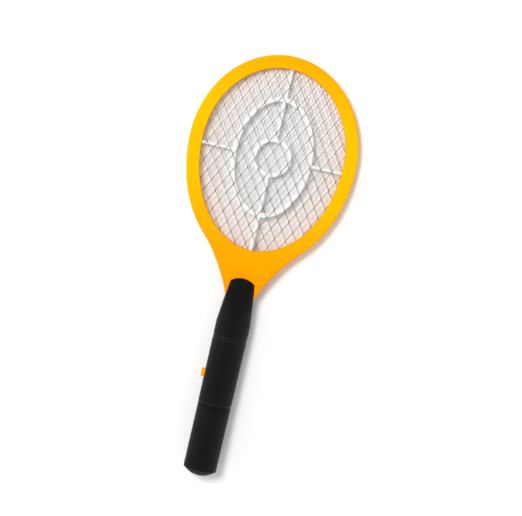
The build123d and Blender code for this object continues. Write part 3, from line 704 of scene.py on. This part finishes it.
def buildCoilTree():
    sockets = [(label, "NodeSocketFloat", 0.0) for label in
               ("Wire", "Turns", "Corner", "Half X", "Half Y", "Half Z", "X", "Y", "Z")]
    sockets += [("Steps", "NodeSocketInt", 100), ("Material", "NodeSocketMaterial", None)]
    tree = newNetTree("woundWire", sockets)
    link = tree.links.new
    given = tree.nodes.new("NodeGroupInput").outputs
    line = tree.nodes.new("GeometryNodeCurvePrimitiveLine")
    fine = tree.nodes.new("GeometryNodeResampleCurve")
    link(line.outputs["Curve"], fine.inputs["Curve"])
    link(given["Steps"], fine.inputs["Count"])
    factor = tree.nodes.new("GeometryNodeSplineParameter").outputs["Factor"]
    angle = maths(tree, "MULTIPLY", maths(tree, "MULTIPLY", factor, given["Turns"]), math.tau)
    # a rounded rectangle: cosine and sine pushed towards the corners
    sides = []
    for wave in ("COSINE", "SINE"):
        value = maths(tree, wave, angle)
        size = maths(tree, "POWER", maths(tree, "ABSOLUTE", value), given["Corner"])
        sides.append(maths(tree, "MULTIPLY", maths(tree, "SIGN", value), size))
    inset = maths(tree, "MULTIPLY", given["Wire"], 0.5)
    halves = [maths(tree, "SUBTRACT", given[label], inset) for label in ("Half X", "Half Y", "Half Z")]
    rise = maths(tree, "MULTIPLY", maths(tree, "SUBTRACT", factor, 0.5), 2.0)
    where = tree.nodes.new("ShaderNodeCombineXYZ")
    link(maths(tree, "MULTIPLY_ADD", sides[0], halves[0], given["X"]), where.inputs["X"])
    link(maths(tree, "MULTIPLY_ADD", sides[1], halves[1], given["Y"]), where.inputs["Y"])
    link(maths(tree, "MULTIPLY_ADD", rise, halves[2], given["Z"]), where.inputs["Z"])
    wind = tree.nodes.new("GeometryNodeSetPosition")
    link(fine.outputs["Curve"], wind.inputs["Geometry"])
    link(where.outputs[0], wind.inputs["Position"])
    profile = tree.nodes.new("GeometryNodeCurvePrimitiveCircle")
    profile.inputs["Resolution"].default_value = 8
    link(inset, profile.inputs["Radius"])
    body = tree.nodes.new("GeometryNodeCurveToMesh")
    body.inputs["Fill Caps"].default_value = True
    link(wind.outputs["Geometry"], body.inputs["Curve"])
    link(profile.outputs["Curve"], body.inputs["Profile Curve"])
    solid = tree.nodes.new("GeometryNodeRealizeInstances")
    link(body.outputs["Mesh"], solid.inputs["Geometry"])
    paint = tree.nodes.new("GeometryNodeSetMaterial")
    link(solid.outputs["Geometry"], paint.inputs["Geometry"])
    link(given["Material"], paint.inputs["Material"])
    out = tree.nodes.new("NodeGroupOutput")
    link(paint.outputs["Geometry"], out.inputs["Geometry"])
    return tree


def windCoil():
    low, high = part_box("transformer_winding")
    middle = (low + high) / 2
    half = (high - low) / 2
    values = dict(coil)
    values.update({"Half X": half.x, "Half Y": half.y, "Half Z": half.z})
    values.update({"X": middle.x, "Y": middle.y, "Z": middle.z, "Material": finishes["copperWire"]})
    piece = runTree("windingWire", buildCoilTree(), values)
    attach(piece, "racket")
    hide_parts("transformer_winding")
    print("windingWire", len(piece.data.polygons), "faces", piece.dimensions[:])


windCoil()
print("coil is wound")


# ---- finishes of the moulded and metal parts ----

wears = {
    "front_frame": "frameYellow",
    "rear_frame": "frameYellow",
    "push_button": "buttonYellow",
    "front_handle_shell": "handleBlack",
    "rear_handle_shell": "handleBlack",
    "battery_sleeve": "handleBlack",
    "battery_carrier": "carrierBlack",
    "front_spacer": "spacerWhite",
    "rear_spacer": "spacerWhite",
    "frame_screws": "screwSteel",
    "handle_screws": "screwSteel",
    "board_screws": "screwSteel",
    "positive_contact": "contactNickel",
    "negative_contact": "contactNickel",
    "bridge_contact": "contactNickel",
    "bridge_spring": "contactNickel",
    "negative_spring": "contactNickel",
    "net_link_strip": "contactNickel",
    "left_cell": "leftJacket",
    "right_cell": "rightJacket",
    "circuit_board": "boardTan",
    "transformer_core": "ferrite",
    "transformer_bobbin": "bobbinBlack",
    "transformer_winding": "copperWire",
    "storage_capacitor": "capacitorRed",
    "multiplier_capacitors": "capacitorBlue",
    "diodes": "diodeBlack",
    "resistors": "resistorTan",
    "transistor": "transistorBlack",
    "switch_body": "switchBlack",
    "switch_plunger": "switchBlack",
    "red_battery_lead": "leadRed",
    "black_battery_lead": "leadBlack",
    "high_voltage_lead": "leadWhite",
    "ground_lead": "leadBlue",
}
for name, finish in wears.items():
    nodes[name].data.materials.clear()
    nodes[name].data.materials.append(finishes[finish])
print("finishes are on")
